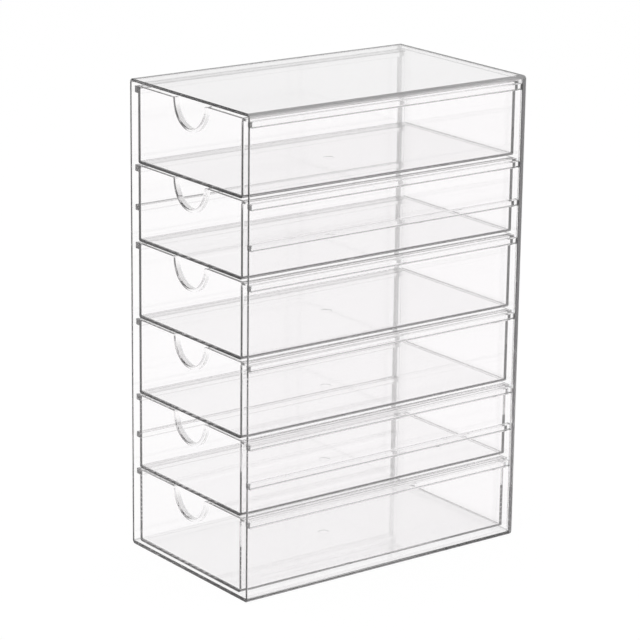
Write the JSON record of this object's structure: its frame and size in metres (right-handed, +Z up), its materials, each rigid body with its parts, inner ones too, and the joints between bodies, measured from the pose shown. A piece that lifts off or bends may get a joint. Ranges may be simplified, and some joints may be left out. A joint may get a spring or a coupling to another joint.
{
  "type": "drawer organizer",
  "caption": "Clear upright case with equal drawers that slide on side rails, each drawer with a rounded finger notch in its front, for make-up and small things.",
  "frame": {"origin": "middle of the case's underside, on the surface that the object stands on", "axes": "+X to the object's right as seen by someone in front of the drawers, the drawers open towards -Y, +Z up"},
  "size_m": [0.16, 0.2654, 0.381],
  "materials": {
    "case_plastic": "crystal clear, polished, slightly worn on the outside faces",
    "drawer_plastic": "crystal clear, polished"
  },
  "bodies": {
    "case": {"case": "case_plastic"},
    "drawer_1": {"drawer_1": "drawer_plastic"},
    "drawer_2": {"drawer_2": "drawer_plastic"},
    "drawer_3": {"drawer_3": "drawer_plastic"},
    "drawer_4": {"drawer_4": "drawer_plastic"},
    "drawer_5": {"drawer_5": "drawer_plastic"},
    "drawer_6": {"drawer_6": "drawer_plastic"}
  },
  "joints": [
    {"name": "drawer_1_slide", "type": "slide", "parent": "case", "child": "drawer_1", "axis": [0, -1, 0], "range_m": [0, 0.2]},
    {"name": "drawer_2_slide", "type": "slide", "parent": "case", "child": "drawer_2", "axis": [0, -1, 0], "range_m": [0, 0.2]},
    {"name": "drawer_3_slide", "type": "slide", "parent": "case", "child": "drawer_3", "axis": [0, -1, 0], "range_m": [0, 0.2]},
    {"name": "drawer_4_slide", "type": "slide", "parent": "case", "child": "drawer_4", "axis": [0, -1, 0], "range_m": [0, 0.2]},
    {"name": "drawer_5_slide", "type": "slide", "parent": "case", "child": "drawer_5", "axis": [0, -1, 0], "range_m": [0, 0.2]},
    {"name": "drawer_6_slide", "type": "slide", "parent": "case", "child": "drawer_6", "axis": [0, -1, 0], "range_m": [0, 0.2]}
  ]
}
